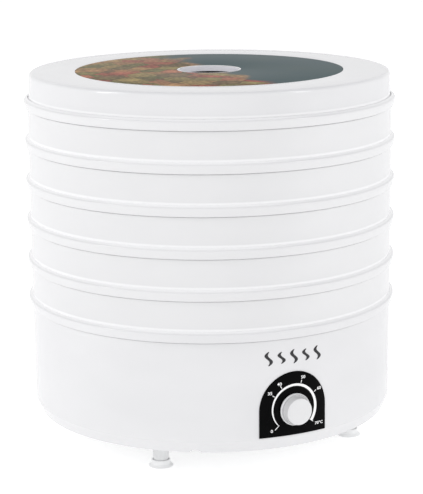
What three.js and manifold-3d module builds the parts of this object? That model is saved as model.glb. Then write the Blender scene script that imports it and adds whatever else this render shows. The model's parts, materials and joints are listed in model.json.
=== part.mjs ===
// A round food dehydrator: a base with a fan heater, five stacking trays and a lid.
// Millimetres, +Z up, origin on the floor under the drum's axis, the knob towards -Y.
import * as THREE from 'three';
import { mergeVertices } from 'three/addons/utils/BufferGeometryUtils.js';
import Module from 'manifold-3d';

const wasm = await Module();
wasm.setup();

// ---------------------------------------------------------------- driving sizes

const GAP = 0.3;                 // free space between pieces that touch
const FINE = 40;                 // sides of the large round walls
const MEDIUM = 20;               // sides of the middle-sized round pieces
const SMALL = 10;                // sides of screws, wires and bosses

const WALL_RADIUS = 160;         // outside of the drum's walls
const WALL = 2.2;                // thickness of a moulded wall
const BASE_WALL = 3;
const BAND_RADIUS = 163;         // outside of the stepped band round each rim
const BAND_HEIGHT = 8.4;
const BAND_LEDGE_RADIUS = 161.7; // the band's outside at its lower ledge
const SOCKET_RADIUS = 160.5;     // inside of the band, where the piece above nests
const SOCKET_MOUTH_RADIUS = 161.1;
const SKIRT = 6;                 // how deep each piece nests in the one below

const TRAYS = 5;
const TRAY_PITCH = 35;
const TRAY_FLOOR_DROP = 4;       // underside of a tray's floor below its seam
const TRAY_FLOOR = 2.4;          // thickness of a tray's floor
const TRAY_SLOT = 2;             // width of the slots in a tray's floor
const TRAY_SLOTS = [
  { inner: 22, outer: 52, count: 12 },
  { inner: 58, outer: 98, count: 24 },
  { inner: 104, outer: 150, count: 40 },
];

const FOOT_HEIGHT = 22.5;        // floor to the drum's bottom edge
const BASE_HEIGHT = 103.7;       // bottom edge to the top of the base's band
const BASE_SEAM = FOOT_HEIGHT + BASE_HEIGHT;
const LIP_RADIUS = 155;          // the bottom edge, drawn in below the crease
const LIP_HEIGHT = 9.8;

const LID_SEAM = BASE_SEAM + TRAYS * TRAY_PITCH;
const LID_HEIGHT = 21.8;
const LID_TOP = LID_SEAM + LID_HEIGHT;
const LID_FOOT_RADIUS = 159.1;   // the lid's wall just above the rim it nests in
const LID_RADIUS = 158.2;        // the lid's wall at its top
const LID_EDGE = 2.4;            // radius of the rounding at the lid's top edge
const VENT_RADIUS = 27;
const VENT_COLLAR = 5.4;         // depth of the collar round the vent
const VENT_RIM = 1.2;            // width of the rim between the vent and the label
const LABEL_RADIUS = 117.7;
const LABEL = 0.4;

const KNOB_Z = 56.7;
const KNOB_BACK = 161.7;         // distance of the knob's back edge from the drum's axis
const KNOB_DEPTH = 9;
const FRONT_REACH = KNOB_BACK + KNOB_DEPTH;
const PANEL_HALF_WIDTH = 31.2;
const PANEL_ARCH = 32;           // height of the arch above the knob's axis
const PANEL_BOTTOM = 34.2;
const PANEL = 1.5;
const PANEL_FRONT = 160.6;       // distance of the panel's face from the drum's axis
const NECK_RADIUS = 4.8;
const SPINDLE_RADIUS = 3;

const DECK_TOP = 110;
const DECK = 2.4;
const OUTLET_RADIUS = 63.6;      // the air outlet in the deck
const COLLAR_TOP = 117;
const SHROUD_RADIUS = 55.2;
const SHROUD_BOTTOM = 60;
const SHROUD_TOP = 107.2;
const EAR_RADIUS = 69;           // where the shroud's ears are screwed
const EAR_ANGLES = [90, 210, 330];
const EAR_TOP = 98.7;

const COVER_BOTTOM = 24.6;
const COVER = 2.2;
const COVER_TOP = COVER_BOTTOM + COVER;
const COVER_RADIUS = 151.6;
const FOOT_RADIUS = 129;         // distance of the feet from the drum's axis
const FOOT_ANGLES = [-45, 45, 135, 225];
const BOSS_RADIUS = 135;         // distance of the cover's screws from the axis
const BOSS_ANGLES = [22.5, 112.5, 202.5, 292.5];
const NOTCH_ANGLES = [-30.4, 59.6, 149.6, 239.6];
const SCREW_HOLE = 1.75;         // radius of the holes for the cover's and the shroud's screws

const SHAFT_RADIUS = 2;
const BORE_RADIUS = SHAFT_RADIUS + 0.35;
const CORE_BOTTOM = 40;
const CORE_TOP = 52;
const MOTOR_SCREW_X = 22;
const MOTOR_HOLE = 1.85;
const MOUNT_SCREW_X = 44;
const MOUNT_HOLE = 1.65;
const FAN_BOTTOM = 62;
const GLAND_Z = 42;

// ---------------------------------------------------------------- small helpers

function solidOf(geometry) {
  const bare = geometry.clone();
  bare.deleteAttribute('normal');
  bare.deleteAttribute('uv');
  const merged = mergeVertices(bare, 1e-4);
  return new wasm.Manifold(new wasm.Mesh({
    numProp: 3,
    vertProperties: Float32Array.from(merged.attributes.position.array),
    triVerts: Uint32Array.from(merged.index.array),
  }));
}

function geometryOf(solid) {
  const mesh = solid.getMesh();
  const geometry = new THREE.BufferGeometry();
  geometry.setAttribute('position', new THREE.BufferAttribute(mesh.vertProperties, 3));
  geometry.setIndex(new THREE.BufferAttribute(mesh.triVerts, 1));
  geometry.computeVertexNormals();
  return geometry;
}

// A profile of [radius, z] points, turned round the Z axis. It runs up the outside
// and down the inside, and closes on itself unless it starts on the axis.
function revolve(profile, sides) {
  const points = profile.map(([radius, z]) => new THREE.Vector2(radius, z));
  if (profile[0][0] > 0) {
    points.push(points[0].clone());
  }
  const geometry = new THREE.LatheGeometry(points, sides);
  geometry.rotateX(Math.PI / 2);
  return solidOf(geometry);
}

function rod(radius, low, high, sides = SMALL) {
  return revolve([[0, low], [radius, low], [radius, high], [0, high]], sides);
}

function tube(inner, outer, low, high, sides = MEDIUM) {
  return revolve([[outer, low], [outer, high], [inner, high], [inner, low]], sides);
}

function block([x0, x1], [y0, y1], [z0, z1]) {
  const geometry = new THREE.BoxGeometry(x1 - x0, y1 - y0, z1 - z0);
  geometry.translate((x0 + x1) / 2, (y0 + y1) / 2, (z0 + z1) / 2);
  return solidOf(geometry);
}

function plateOf(shape, low, high) {
  const geometry = new THREE.ExtrudeGeometry(shape, {
    depth: high - low,
    bevelEnabled: false,
    curveSegments: MEDIUM,
  });
  geometry.translate(0, 0, low);
  return solidOf(geometry);
}

// A round bar that follows a smooth route through the given points.
function bar(points, radius, steps, sides = 5) {
  const route = new THREE.CatmullRomCurve3(points.map((p) => new THREE.Vector3(...p)));
  const section = new THREE.Shape(circlePoints(radius, sides));
  const geometry = new THREE.ExtrudeGeometry(section, {
    steps,
    bevelEnabled: false,
    extrudePath: route,
  });
  return solidOf(geometry);
}

function circlePoints(radius, sides) {
  return Array.from({ length: sides }, (_, i) => {
    const angle = (2 * Math.PI * i) / sides;
    return new THREE.Vector2(radius * Math.cos(angle), radius * Math.sin(angle));
  });
}

// The place at a radius and at an angle counted from the knob's side, anticlockwise
// as seen from above.
function aroundDrum(radius, degrees) {
  const angle = THREE.MathUtils.degToRad(degrees);
  return [radius * Math.sin(angle), -radius * Math.cos(angle)];
}

function atAngle(solid, radius, degrees) {
  return solid.translate([...aroundDrum(radius, degrees), 0]);
}

function join(...solids) {
  return solids.reduce((whole, next) => whole.add(next));
}

function cut(whole, ...tools) {
  return tools.reduce((rest, tool) => rest.subtract(tool), whole);
}

function finish(color, roughness, metalness = 0) {
  return new THREE.MeshStandardMaterial({ color, roughness, metalness });
}

const whiteShell = finish(0xeef0f3, 0.3);
const whiteTray = finish(0xf0f0f0, 0.32);
const blackGloss = finish(0x0d0d0e, 0.2);
const softFoot = finish(0xe6e8ea, 0.45);
const labelPrint = finish(0x7f8a80, 0.4);
const innerWhite = finish(0xe8e8e6, 0.5);
const blackPlastic = finish(0x1c1c1e, 0.5);
const steel = finish(0xb4b8bc, 0.35, 0.9);
const laminate = finish(0x70757a, 0.5, 0.8);
const brass = finish(0xb9974f, 0.35, 0.9);
const copper = finish(0xa8572c, 0.4, 0.8);
const mica = finish(0xc9b98f, 0.6);
const heaterAlloy = finish(0x8c8782, 0.45, 0.8);
const screwSteel = finish(0xc4c8cc, 0.3, 0.95);
const brownSleeve = finish(0x5a3521, 0.5);
const blueSleeve = finish(0x2a4d8c, 0.5);

const dehydrator = new THREE.Group();

function add(name, solid, material, place = [0, 0, 0], parent = dehydrator) {
  const mesh = new THREE.Mesh(geometryOf(solid), material);
  mesh.name = name;
  mesh.position.set(...place);
  parent.add(mesh);
  return mesh;
}

// ---------------------------------------------------------------- stacking walls

// The outside of a rim: a ledge, a band that leans outwards and a socket with a
// shoulder inside it, on which the piece above stands.
function rimProfile(seam, innerRadius) {
  return [
    [WALL_RADIUS, seam - BAND_HEIGHT],
    [BAND_LEDGE_RADIUS, seam - BAND_HEIGHT],
    [BAND_RADIUS, seam],
    [SOCKET_MOUTH_RADIUS, seam],
    [SOCKET_RADIUS, seam - SKIRT - GAP],
    [innerRadius, seam - SKIRT - GAP],
  ];
}

// A round plate with rows of four-sided openings. The half-width of an opening is
// given as a function of the row's count and of the distance from the middle.
function openPlate(radius, rows, halfWidth, low, high) {
  const holes = rows.flatMap(({ inner, outer, count }) => {
    const ends = [halfWidth(count, inner), halfWidth(count, outer)];
    const corners = [[inner, -ends[0]], [outer, -ends[1]], [outer, ends[1]], [inner, ends[0]]];
    const shape = new THREE.Shape(corners.map(([x, y]) => new THREE.Vector2(x, y)));
    const hole = plateOf(shape, low - 1, high + 1);
    return Array.from({ length: count }, (_, i) => hole.rotate([0, 0, (360 * (i + 0.5)) / count]));
  });
  return cut(rod(radius, low, high, FINE), ...holes);
}

// Openings with a rib of even width between them.
function ribbedPlate(radius, rows, rib, low, high) {
  const halfWidth = (count, along) => along * Math.tan(Math.PI / count) - rib / 2;
  return openPlate(radius, rows, halfWidth, low, high);
}

// ---------------------------------------------------------------- trays and lid

function traySolid() {
  const inside = WALL_RADIUS - WALL;
  const wall = revolve([
    [WALL_RADIUS, -SKIRT],
    ...rimProfile(TRAY_PITCH, inside),
    [inside, -SKIRT],
  ], FINE);
  const bottom = -TRAY_FLOOR_DROP;
  const top = bottom + TRAY_FLOOR;
  const floor = openPlate(WALL_RADIUS - WALL / 2, TRAY_SLOTS, () => TRAY_SLOT / 2, bottom, top);
  return join(wall, floor);
}

function addTrays() {
  const tray = traySolid();
  for (let i = 1; i <= TRAYS; i += 1) {
    add(`tray_${i}`, tray, whiteTray, [0, 0, LID_SEAM - i * TRAY_PITCH]);
  }
}

function lidSolid() {
  const edge = [0, 30, 60, 90].map((degrees) => {
    const angle = THREE.MathUtils.degToRad(degrees);
    const centre = LID_RADIUS - LID_EDGE;
    return [centre + LID_EDGE * Math.cos(angle), LID_TOP - LID_EDGE + LID_EDGE * Math.sin(angle)];
  });
  const recess = LID_TOP - LABEL - 2 * GAP + 0.1;
  const ceiling = LID_TOP - WALL - 0.6;
  return revolve([
    [WALL_RADIUS, LID_SEAM - SKIRT],
    [WALL_RADIUS, LID_SEAM - 0.6],
    [LID_FOOT_RADIUS, LID_SEAM + 0.4],
    ...edge,
    [LABEL_RADIUS + GAP, LID_TOP],
    [LABEL_RADIUS + GAP, recess],
    [VENT_RADIUS + VENT_RIM, recess],
    [VENT_RADIUS + VENT_RIM, LID_TOP],
    [VENT_RADIUS, LID_TOP],
    [VENT_RADIUS, LID_TOP - VENT_COLLAR],
    [VENT_RADIUS + WALL, LID_TOP - VENT_COLLAR],
    [VENT_RADIUS + WALL, ceiling],
    [LID_RADIUS - WALL, ceiling - 1],
    [LID_FOOT_RADIUS - WALL, LID_SEAM],
    [WALL_RADIUS - WALL, LID_SEAM - SKIRT],
  ], FINE);
}

function addLid() {
  add('lid', lidSolid(), whiteShell);
  const top = LID_TOP - 0.1;
  const label = tube(VENT_RADIUS + VENT_RIM + GAP, LABEL_RADIUS, top - LABEL, top, FINE);
  add('lid_label', label, labelPrint);
}

// ---------------------------------------------------------------- base housing

function panelPrism(margin) {
  const half = PANEL_HALF_WIDTH + margin;
  const shape = new THREE.Shape();
  shape.moveTo(-half, PANEL_BOTTOM - margin);
  shape.lineTo(half, PANEL_BOTTOM - margin);
  shape.absellipse(0, KNOB_Z, half, PANEL_ARCH + margin, 0, Math.PI, false, 0);
  const geometry = new THREE.ExtrudeGeometry(shape, {
    depth: WALL_RADIUS,
    bevelEnabled: false,
    curveSegments: MEDIUM / 2,
  });
  geometry.rotateX(Math.PI / 2);
  geometry.translate(0, -WALL_RADIUS / 4, 0);
  return solidOf(geometry);
}

// Turned like a rod along Z, then laid so that it points towards the knob's side.
function towardsFront(solid, z) {
  return solid.rotate([90, 0, 0]).translate([0, 0, z]);
}

function towardsBack(solid, z) {
  return solid.rotate([-90, 0, 0]).translate([0, 0, z]);
}

function housingShell() {
  const inside = WALL_RADIUS - BASE_WALL;
  const deckBottom = DECK_TOP - DECK;
  return revolve([
    [LIP_RADIUS, FOOT_HEIGHT],
    [WALL_RADIUS - 0.7, FOOT_HEIGHT + LIP_HEIGHT],
    ...rimProfile(BASE_SEAM, inside),
    [inside, DECK_TOP + 2],
    [OUTLET_RADIUS + DECK, DECK_TOP],
    [OUTLET_RADIUS + DECK, COLLAR_TOP],
    [OUTLET_RADIUS, COLLAR_TOP],
    [OUTLET_RADIUS, deckBottom],
    [inside, deckBottom],
    [inside - 0.4, FOOT_HEIGHT + LIP_HEIGHT + 1],
    [LIP_RADIUS - 2.6, FOOT_HEIGHT],
  ], FINE);
}

function housingBosses() {
  const deckBottom = DECK_TOP - DECK;
  const coverBoss = cut(rod(4.2, COVER_TOP + GAP, deckBottom + 1), rod(SCREW_HOLE, COVER_TOP, 46));
  const earBoss = cut(rod(4, EAR_TOP + GAP, deckBottom + 1), rod(SCREW_HOLE, EAR_TOP, deckBottom - 1));
  return join(
    ...BOSS_ANGLES.map((degrees) => atAngle(coverBoss, BOSS_RADIUS, degrees)),
    ...EAR_ANGLES.map((degrees) => atAngle(earBoss, EAR_RADIUS, degrees)),
  );
}

// A half-round notch in the bottom edge, as deep as the tool stands above the edge.
function notchTool(degrees) {
  const radius = 6;
  const height = 2.5;
  const tool = rod(radius, LIP_RADIUS - 12, LIP_RADIUS + 12, 16);
  return towardsFront(tool, FOOT_HEIGHT + height - radius).rotate([0, 0, degrees]);
}

function housingSolid() {
  const floorOfPocket = PANEL_FRONT - PANEL - GAP;
  const pocketRing = tube(floorOfPocket, WALL_RADIUS + 4, 20, BASE_SEAM - BAND_HEIGHT - 2, FINE);
  const pocket = panelPrism(GAP).intersect(pocketRing);
  const neckHole = towardsFront(rod(NECK_RADIUS + 0.8, 140, 170, MEDIUM), KNOB_Z);
  const glandHole = towardsBack(rod(6.4, 140, 170, MEDIUM), GLAND_Z);
  const notches = NOTCH_ANGLES.map(notchTool);
  return cut(join(housingShell(), housingBosses()), pocket, neckHole, glandHole, ...notches);
}

function panelSolid() {
  const skin = tube(PANEL_FRONT - PANEL, PANEL_FRONT, 20, BASE_SEAM, FINE);
  const hole = towardsFront(rod(NECK_RADIUS + 0.5, 140, 170, MEDIUM), KNOB_Z);
  return cut(panelPrism(0).intersect(skin), hole);
}

function coverSolid() {
  const rows = [
    { inner: 16, outer: 36, count: 8 },
    { inner: 52, outer: 76, count: 12 },
  ];
  const plate = ribbedPlate(COVER_RADIUS, rows, 4, COVER_BOTTOM, COVER_TOP);
  const posts = FOOT_ANGLES.map((degrees) => atAngle(footPost(), FOOT_RADIUS, degrees));
  const wells = FOOT_ANGLES.map((degrees) => atAngle(footWell(), FOOT_RADIUS, degrees));
  const screwHole = rod(SCREW_HOLE, COVER_BOTTOM - 1, COVER_TOP + 1);
  const holes = BOSS_ANGLES.map((degrees) => atAngle(screwHole, BOSS_RADIUS, degrees));
  const mounts = [-MOUNT_SCREW_X, MOUNT_SCREW_X].map((x) => mountPost().translate([x, 0, 0]));
  return cut(join(plate, ...posts, ...mounts), ...wells, ...holes, ...mountHoles());
}

function footPost() {
  return revolve([[0, 3], [6.5, 3], [7.7, COVER_BOTTOM + 1], [0, COVER_BOTTOM + 1]], 16);
}

function footWell() {
  return revolve([[0, 5.5], [4.4, 5.5], [5.6, COVER_TOP + 1], [0, COVER_TOP + 1]], 16);
}

function mountPost() {
  return rod(4, COVER_TOP - 1, 31.7);
}

function mountHoles() {
  return [-MOUNT_SCREW_X, MOUNT_SCREW_X].map((x) => rod(MOUNT_HOLE, 27.4, 33).translate([x, 0, 0]));
}

function footPadSolid() {
  return revolve([
    [0, 1.3],
    [7.6, 0.8],
    [8.6, 0],
    [10.5, 0],
    [10.5, 0.9],
    [8.3, 2.8],
    [7.9, 6.2],
    [6.9, 6.2],
    [6.8, 2.7],
    [0, 2.7],
  ], 14);
}

function nutSolid(bore, across, low, high) {
  return cut(rod(across, low, high, 6), rod(bore, low - 1, high + 1, MEDIUM));
}

function screwSolid(headRadius, headHeight, shankRadius, length) {
  return revolve([
    [0, -headHeight],
    [headRadius * 0.8, -headHeight],
    [headRadius, -headHeight * 0.6],
    [headRadius, 0],
    [shankRadius, 0],
    [shankRadius, length],
    [0, length],
  ], SMALL);
}

function addBase() {
  add('base_housing', housingSolid(), whiteShell);
  add('control_panel', panelSolid(), blackGloss);
  add('bottom_cover', coverSolid(), innerWhite);
  FOOT_ANGLES.forEach((degrees, i) => {
    add(`foot_pad_${i + 1}`, footPadSolid(), softFoot, [...aroundDrum(FOOT_RADIUS, degrees), 0]);
  });
  BOSS_ANGLES.forEach((degrees, i) => {
    const place = [...aroundDrum(BOSS_RADIUS, degrees), COVER_BOTTOM - GAP];
    add(`cover_screw_${i + 1}`, screwSolid(3.6, 2.1, 1.35, 20), screwSteel, place);
  });
  add('air_grille', grilleSolid(), innerWhite);
}

function grilleSolid() {
  const rows = [
    { inner: 12, outer: 34, count: 8 },
    { inner: 38, outer: 60, count: 12 },
  ];
  const low = COLLAR_TOP + GAP;
  const plate = ribbedPlate(67.5, rows, 3, low, low + 2);
  const ring = tube(OUTLET_RADIUS - 2.3, OUTLET_RADIUS - GAP, DECK_TOP, low + 1, FINE);
  const thirds = [0, 120, 240].map((degrees) => {
    return block([-8, 8], [-70, -50], [DECK_TOP - 1, low + 1]).rotate([0, 0, degrees]);
  });
  return join(plate, ring.intersect(join(...thirds)));
}

// ---------------------------------------------------------------- knob and thermostat

function knobSolid() {
  const hub = 5.6;
  const socketEnd = 6.6;
  return revolve([
    [SPINDLE_RADIUS + GAP, 2.9],
    [hub, 2.9],
    [hub, 3.4],
    [9.4, 3.2],
    [12.2, 0],
    [13.7, 0],
    [13.7, 1.1],
    [12.4, 2.3],
    [11, 2.5],
    [10.6, KNOB_DEPTH - 0.7],
    [9.9, KNOB_DEPTH],
    [0, KNOB_DEPTH],
    [0, socketEnd],
    [SPINDLE_RADIUS + GAP, socketEnd],
  ], MEDIUM);
}

function thermostatSolid() {
  const plate = block([-15, 15], [-15, 15], [153.4, 154.9]);
  const cup = rod(14, 136, 153.5, MEDIUM);
  const neck = rod(NECK_RADIUS, 154, 163.2, MEDIUM);
  const bore = rod(SPINDLE_RADIUS + GAP, 150, 170, MEDIUM);
  return cut(join(plate, cup, neck), bore);
}

function addControls() {
  const front = new THREE.Group();
  front.rotation.x = Math.PI / 2;
  front.position.z = KNOB_Z;
  dehydrator.add(front);
  add('knob', knobSolid(), whiteShell, [0, 0, KNOB_BACK], front);
  add('thermostat_body', thermostatSolid(), steel, [0, 0, 0], front);
  add('thermostat_spindle', rod(SPINDLE_RADIUS, 150.4, 168, 16), brass, [0, 0, 0], front);
  const nut = nutSolid(NECK_RADIUS + GAP, 7.4, PANEL_FRONT + GAP, 162.9);
  add('thermostat_nut', nut, brass, [0, 0, 0], front);
  addSensor();
}

// The bulb lies under the deck beside the heater, and its capillary runs back to
// the thermostat.
function addSensor() {
  const bulbStart = [-48, -76, 100.5];
  const bulbEnd = [-78, -44, 100.5];
  const route = [[-6, -134.8, 60], [-20, -120, 76], [-34, -94, 95], bulbStart, bulbEnd];
  const capillary = bar(route, 0.9, 16);
  const bulb = bar([bulbStart, bulbEnd], 3.2, 1, 10);
  add('capillary_sensor', join(capillary, bulb), copper);
}

// ---------------------------------------------------------------- heater

function shroudSolid() {
  const inside = SHROUD_RADIUS - 1.2;
  const flare = OUTLET_RADIUS - 1;
  const sheet = revolve([
    [SHROUD_RADIUS, SHROUD_BOTTOM],
    [SHROUD_RADIUS, 99.8],
    [flare, SHROUD_TOP],
    [flare - 1.2, SHROUD_TOP],
    [inside, 100.2],
    [inside, SHROUD_BOTTOM],
  ], FINE);
  const ears = EAR_ANGLES.map((degrees) => {
    const tongue = block([-5.5, 5.5], [-74, -SHROUD_RADIUS + 0.8], [EAR_TOP - 1.6, EAR_TOP]);
    const hole = rod(SCREW_HOLE, EAR_TOP - 5, EAR_TOP + 5).translate([0, -EAR_RADIUS, 0]);
    return cut(tongue, hole).rotate([0, 0, degrees]);
  });
  const window = block([50, 58], [-9, 9], [84.5, 95.5]);
  return cut(join(sheet, ...ears), window);
}

// One of two mica plates that cross on edge, each slotted half way for the other.
function micaPlate(slotLow, slotHigh) {
  const half = SHROUD_RADIUS - 3;
  const plate = block([-half, half], [-0.6, 0.6], [82, 98]);
  return cut(plate, block([-0.9, 0.9], [-2, 2], [slotLow, slotHigh]));
}

function coilSolid() {
  const turns = 3;
  const stepsPerTurn = 14;
  const points = Array.from({ length: turns * stepsPerTurn + 1 }, (_, i) => {
    const along = i / (turns * stepsPerTurn);
    const [x, y] = aroundDrum(17 + 29 * along, 360 * turns * along);
    return [x, y, 99.7];
  });
  return bar(points, 1.1, turns * stepsPerTurn, 5);
}

function addHeater() {
  const middle = 90;
  add('heater_shroud', shroudSolid(), steel);
  add('heater_plate_1', micaPlate(middle - 0.2, 99), mica);
  add('heater_plate_2', micaPlate(81, middle + 0.2).rotate([0, 0, 90]), mica);
  add('heater_coil', coilSolid(), heaterAlloy);
  const fuse = rod(2.2, -7, 7).rotate([0, 90, 0]);
  add('thermal_fuse', fuse, steel, [28, 3.4, middle]);
  EAR_ANGLES.forEach((degrees, i) => {
    const place = [...aroundDrum(EAR_RADIUS, degrees), EAR_TOP - 1.6 - GAP];
    add(`shroud_screw_${i + 1}`, screwSolid(3.1, 1.9, 1.35, 7), screwSteel, place);
  });
}

// ---------------------------------------------------------------- motor and fan

function coreSolid() {
  const stack = block([-26, 26], [-18, 44], [CORE_BOTTOM, CORE_TOP]);
  const bore = rod(12.6, CORE_BOTTOM - 1, CORE_TOP + 1, MEDIUM);
  const windows = [-1, 1].map((side) => {
    const edges = [side * 7.3, side * 17].sort((a, b) => a - b);
    return block(edges, [18, 38], [CORE_BOTTOM - 1, CORE_TOP + 1]);
  });
  return cut(stack, bore, ...windows, ...motorScrewHoles());
}

function motorScrewHoles() {
  return [-MOTOR_SCREW_X, MOTOR_SCREW_X].map((x) => rod(MOTOR_HOLE, 20, 70).translate([x, 0, 0]));
}

function windingSolid() {
  const whole = block([-16.4, 16.4], [20.3, 35.7], [35, 57]);
  return cut(whole, block([-7.6, 7.6], [19, 37], [CORE_BOTTOM - GAP, CORE_TOP + GAP]));
}

// A strap with two legs that stand on the stator core, and the seat of a bearing.
function bracketSolid(halfLength, plateLow, plateHigh, legEnd) {
  const strap = block([-halfLength, halfLength], [-6, 6], [plateLow, plateHigh]);
  const legs = [-1, 1].map((side) => {
    const edges = [side * 18.5, side * 25.5].sort((a, b) => a - b);
    const ends = [legEnd, (plateLow + plateHigh) / 2].sort((a, b) => a - b);
    return block(edges, [-6, 6], ends);
  });
  const seat = rod(5.1, 20, 70, MEDIUM);
  return cut(join(strap, ...legs), seat, ...motorScrewHoles());
}

function bottomBracketSolid() {
  const mountHole = rod(MOUNT_HOLE, 20, 50);
  const sides = [-MOUNT_SCREW_X, MOUNT_SCREW_X].map((x) => mountHole.translate([x, 0, 0]));
  return cut(bracketSolid(50, 32, 34, CORE_BOTTOM - GAP), ...sides);
}

function bearingSolid(middle) {
  return tube(BORE_RADIUS, 4.7, middle - 3.4, middle + 3.4, 20);
}

function fanSolid() {
  const hub = tube(BORE_RADIUS, 9, FAN_BOTTOM, FAN_BOTTOM + 11, MEDIUM);
  const blades = Array.from({ length: 7 }, (_, i) => {
    const blade = block([7.5, 49], [-9, 9], [-0.8, 0.8]);
    return blade.rotate([32, 0, 0]).rotate([0, 0, (360 * i) / 7]).translate([0, 0, FAN_BOTTOM + 5.5]);
  });
  const bore = rod(BORE_RADIUS, FAN_BOTTOM - 5, FAN_BOTTOM + 20, MEDIUM);
  return cut(join(hub, ...blades), bore);
}

function addMotor() {
  add('motor_core', coreSolid(), laminate);
  add('motor_winding', windingSolid(), copper);
  add('motor_bracket_top', bracketSolid(26, 56.5, 58.5, CORE_TOP + GAP), steel);
  add('motor_bracket_bottom', bottomBracketSolid(), steel);
  add('bearing_top', bearingSolid(57.5), brass);
  add('bearing_bottom', bearingSolid(33), brass);
  add('rotor', tube(BORE_RADIUS, 12.1, CORE_BOTTOM - 0.5, CORE_TOP + 0.5), laminate);
  add('motor_shaft', rod(SHAFT_RADIUS, 29.2, 76.8, 16), screwSteel);
  add('fan', fanSolid(), blackPlastic);
  add('fan_nut', nutSolid(BORE_RADIUS, 4.5, FAN_BOTTOM + 11 + GAP, FAN_BOTTOM + 14), brass);
  [-1, 1].forEach((side, i) => {
    const long = screwSolid(3, 2, 1.5, 28);
    const short = screwSolid(3, 2, 1.3, 6.3).rotate([180, 0, 0]);
    add(`motor_screw_${i + 1}`, long, screwSteel, [side * MOTOR_SCREW_X, 0, 32 - GAP]);
    add(`mount_screw_${i + 1}`, short, screwSteel, [side * MOUNT_SCREW_X, 0, 34 + GAP]);
  });
}

// ---------------------------------------------------------------- mains side

// The strain relief stands out at the back as far as the knob does at the front,
// so the drum's axis stays in the middle of the whole.
function glandSolid() {
  const bore = 3.2;
  return revolve([
    [8.6, 152.4],
    [8.6, 155.8],
    [6, 155.8],
    [6, 160.4],
    [9, 160.4],
    [9, 162.4],
    [7, 163.6],
    [4.8, FRONT_REACH],
    [bore, FRONT_REACH],
    [bore, 152.4],
  ], MEDIUM);
}

function terminalSolid() {
  const base = [COVER_TOP + GAP, COVER_TOP + GAP + 13];
  const whole = block([-19, 19], [87, 103], base);
  const wells = [-12, 0, 12].map((x) => rod(2.6, 36, 50).translate([x, 95, 0]));
  return cut(whole, ...wells);
}

function addMains() {
  const back = new THREE.Group();
  back.rotation.x = -Math.PI / 2;
  back.position.z = GLAND_Z;
  dehydrator.add(back);
  add('cord_gland', glandSolid(), innerWhite, [0, 0, 0], back);
  add('terminal_block', terminalSolid(), innerWhite);
  const wire = 1.2;
  const supply = [
    [-12, 85.2, 34], [-50, 76, 42], [-82, 25, 50],
    [-78, -50, 52], [-34, -106, 54], [-9, -134.4, 51],
  ];
  const neutral = [
    [12, 85.2, 34], [50, 80, 46], [78, 42, 66],
    [73, 12, 86], [60, 4.5, 90], [47, 4.5, 90],
  ];
  const heater = [
    [9, -134.4, 51], [42, -112, 58], [78, -62, 74],
    [75, -16, 86], [60, -4.5, 90], [47, -4.5, 90],
  ];
  const motor = [[0, 85.6, 32], [0, 72, 30], [6, 56, 38], [10, 38, 60], [10, 30, 59]];
  add('wire_supply', bar(supply, wire, 24), brownSleeve);
  add('wire_neutral', bar(neutral, wire, 20), blueSleeve);
  add('wire_heater', bar(heater, wire, 20), brownSleeve);
  add('wire_motor', bar(motor, wire, 14), blueSleeve);
}

// ---------------------------------------------------------------- the whole

addBase();
addControls();
addHeater();
addMotor();
addMains();
addTrays();
addLid();

export default dehydrator;
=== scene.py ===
import json
import math

import bmesh
import bpy
from mathutils import Matrix, Vector


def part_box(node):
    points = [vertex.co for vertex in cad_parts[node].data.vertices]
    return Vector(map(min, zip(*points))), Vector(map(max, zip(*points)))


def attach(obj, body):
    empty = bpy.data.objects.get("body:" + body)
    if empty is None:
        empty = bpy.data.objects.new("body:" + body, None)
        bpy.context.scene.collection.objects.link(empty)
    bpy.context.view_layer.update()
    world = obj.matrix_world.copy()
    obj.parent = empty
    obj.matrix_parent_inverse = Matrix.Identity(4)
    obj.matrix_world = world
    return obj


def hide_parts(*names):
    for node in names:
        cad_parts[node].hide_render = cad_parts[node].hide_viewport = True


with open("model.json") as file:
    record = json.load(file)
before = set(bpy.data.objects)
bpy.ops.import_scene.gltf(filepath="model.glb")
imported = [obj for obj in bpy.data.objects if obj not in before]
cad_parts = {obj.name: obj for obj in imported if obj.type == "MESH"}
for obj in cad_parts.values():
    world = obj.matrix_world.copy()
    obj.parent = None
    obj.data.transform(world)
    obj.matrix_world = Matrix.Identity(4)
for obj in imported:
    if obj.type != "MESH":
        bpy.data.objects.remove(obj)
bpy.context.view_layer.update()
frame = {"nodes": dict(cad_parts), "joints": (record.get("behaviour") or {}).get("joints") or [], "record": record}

# ---------------------------------------------------------------- sizes, in millimetres

MM = 0.001
AROUND = 224                    # steps round the large walls
TRAYS = 5

base_low, base_high = (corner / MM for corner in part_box("base_housing"))
tray_low, tray_high = (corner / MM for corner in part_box("tray_1"))
lid_low, lid_high = (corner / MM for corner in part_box("lid"))
_, cover_high = (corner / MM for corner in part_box("bottom_cover"))
_, grille_high = (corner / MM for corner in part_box("air_grille"))
panel_low, panel_high = (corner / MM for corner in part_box("control_panel"))
knob_low, knob_high = (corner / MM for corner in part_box("knob"))
gland_low, gland_high = (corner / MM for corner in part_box("cord_gland"))
label_low, label_high = (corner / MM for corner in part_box("lid_label"))

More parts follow.
